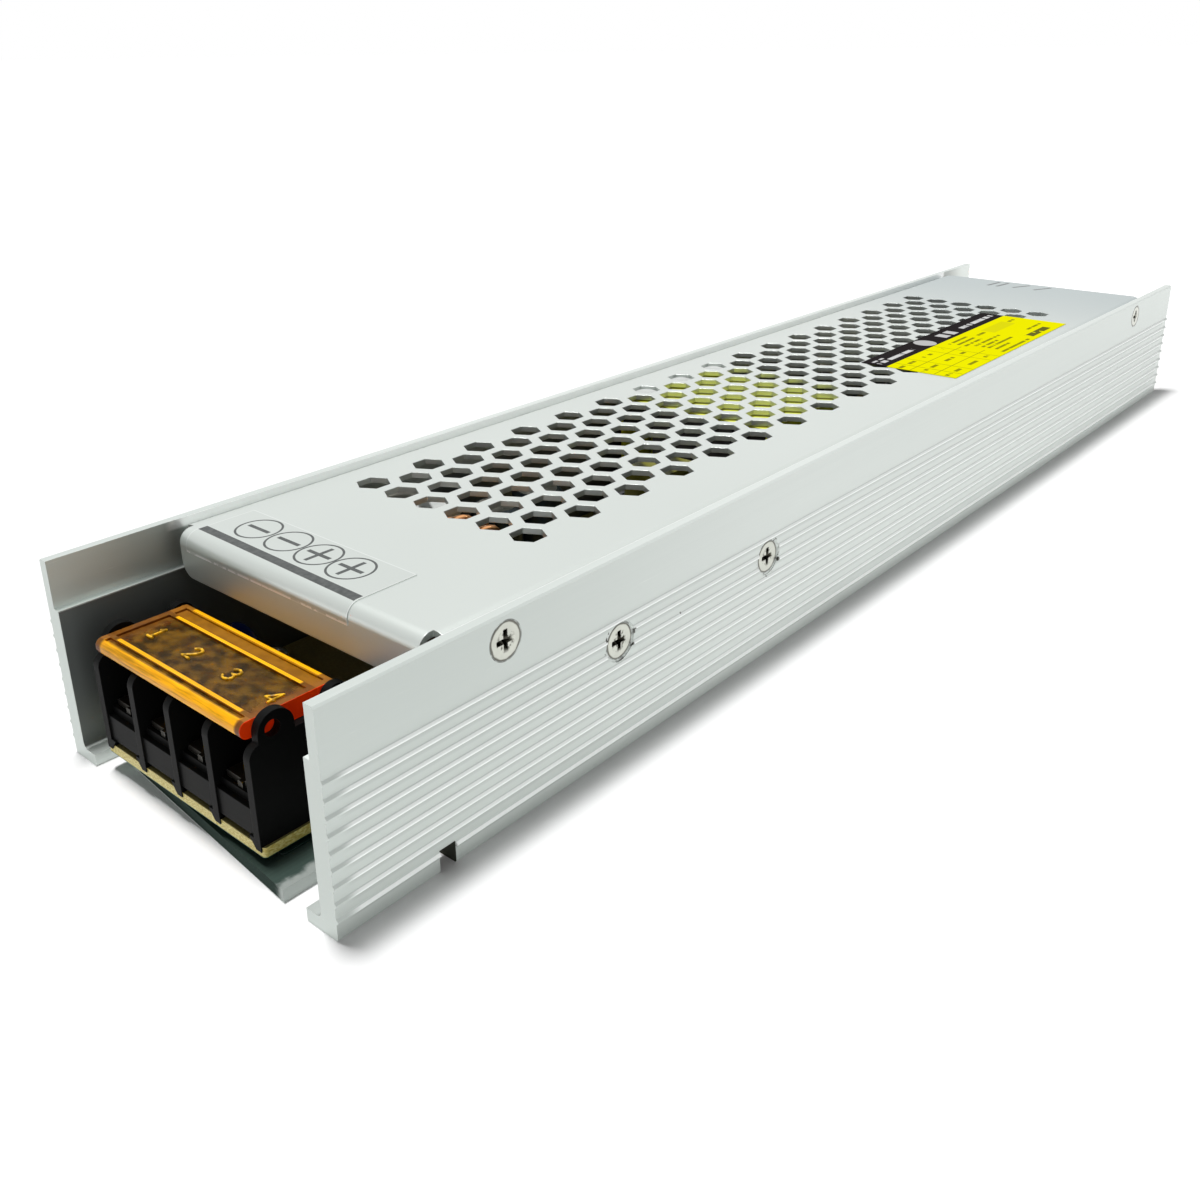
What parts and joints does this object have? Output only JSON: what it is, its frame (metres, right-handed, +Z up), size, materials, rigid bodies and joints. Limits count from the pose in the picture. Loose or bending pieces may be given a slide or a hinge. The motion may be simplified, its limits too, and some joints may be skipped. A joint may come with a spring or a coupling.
{
  "type": "mesh case switching power supply",
  "caption": "Slim switching power supply in a ribbed aluminium channel with a hexagon-mesh lid and flip-cover screw terminals at both ends.",
  "frame": {"origin": "centre of the channel floor's underside", "axes": "+X along the length towards the input end, +Y across towards the wall with the transistor screws, +Z up through the lid"},
  "size_m": [0.316, 0.0658, 0.033],
  "materials": {
    "channel_aluminium": "satin anodised",
    "lid_sheet": "smooth zinc-plated",
    "zinc_screw": "zinc-plated",
    "label": "coated, yellow with a black band",
    "clear_film": "clear",
    "board_laminate": "tan edges, green underside",
    "insulating_film": "clear",
    "white_nylon": "plain",
    "black_plastic": "moulded, satin",
    "orange_plastic": "translucent",
    "tinned_brass": "tinned",
    "terminal_steel": "nickel-plated",
    "device_epoxy": "moulded",
    "silicone_pad": "smooth",
    "coated_ring": "powder-coated core",
    "copper_wire": "enamelled",
    "wound_copper": "enamelled",
    "capacitor_can": "dark sleeve with a bare top",
    "ferrite": "ground",
    "yellow_tape": "polyester tape",
    "olive_tape": "polyester tape",
    "white_silicone": "smooth",
    "film_capacitor_case": "moulded box",
    "blue_coating": "lacquered",
    "green_coating": "lacquered",
    "fuse_ceramic": "with metal caps",
    "white_moulding": "moulded",
    "resistor_coating": "lacquered"
  },
  "bodies": {
    "case": {"channel": "channel_aluminium", "mesh_lid": "lid_sheet", "lid_screws": "zinc_screw", "rating_label": "label", "polarity_sticker": "clear_film", "circuit_board": "board_laminate", "insulation_sheet": "insulating_film", "board_spacers": "white_nylon", "board_screws": "zinc_screw", "output_terminal_block": "black_plastic", "output_contacts": "tinned_brass", "output_terminal_screws": "terminal_steel", "output_terminal_washers": "terminal_steel", "input_terminal_block": "black_plastic", "input_contacts": "tinned_brass", "input_terminal_screws": "terminal_steel", "input_terminal_washers": "terminal_steel", "output_rectifiers": "device_epoxy", "switching_transistors": "device_epoxy", "device_pads": "silicone_pad", "clamp_screws": "zinc_screw", "clamp_nuts": "zinc_screw", "output_choke_core": "coated_ring", "output_choke_winding": "copper_wire", "output_capacitors": "capacitor_can", "transformer_core": "ferrite", "transformer_bobbin": "black_plastic", "transformer_winding": "wound_copper", "transformer_tape": "yellow_tape", "auxiliary_core": "ferrite", "auxiliary_winding": "olive_tape", "silicone_glue": "white_silicone", "bulk_capacitors": "capacitor_can", "bridge_rectifier": "device_epoxy", "driver_core": "ferrite", "driver_winding": "yellow_tape", "mains_choke_core": "coated_ring", "mains_choke_winding": "copper_wire", "film_capacitors": "film_capacitor_case", "disc_capacitors": "blue_coating", "mains_fuse": "fuse_ceramic", "surge_thermistor": "green_coating", "control_chip": "device_epoxy", "optocoupler": "white_moulding", "power_resistors": "resistor_coating"},
    "output_cover": {"output_terminal_cover": "orange_plastic"},
    "input_cover": {"input_terminal_cover": "orange_plastic"}
  },
  "joints": [
    {"name": "output_cover_hinge", "type": "hinge", "parent": "case", "child": "output_cover", "pos_m": [-0.1424, 0.00425, 0.0209], "axis": [0, 1, 0], "range_deg": [0, 95]},
    {"name": "input_cover_hinge", "type": "hinge", "parent": "case", "child": "input_cover", "pos_m": [0.1429, 0.0057, 0.0209], "axis": [0, -1, 0], "range_deg": [0, 90]}
  ]
}
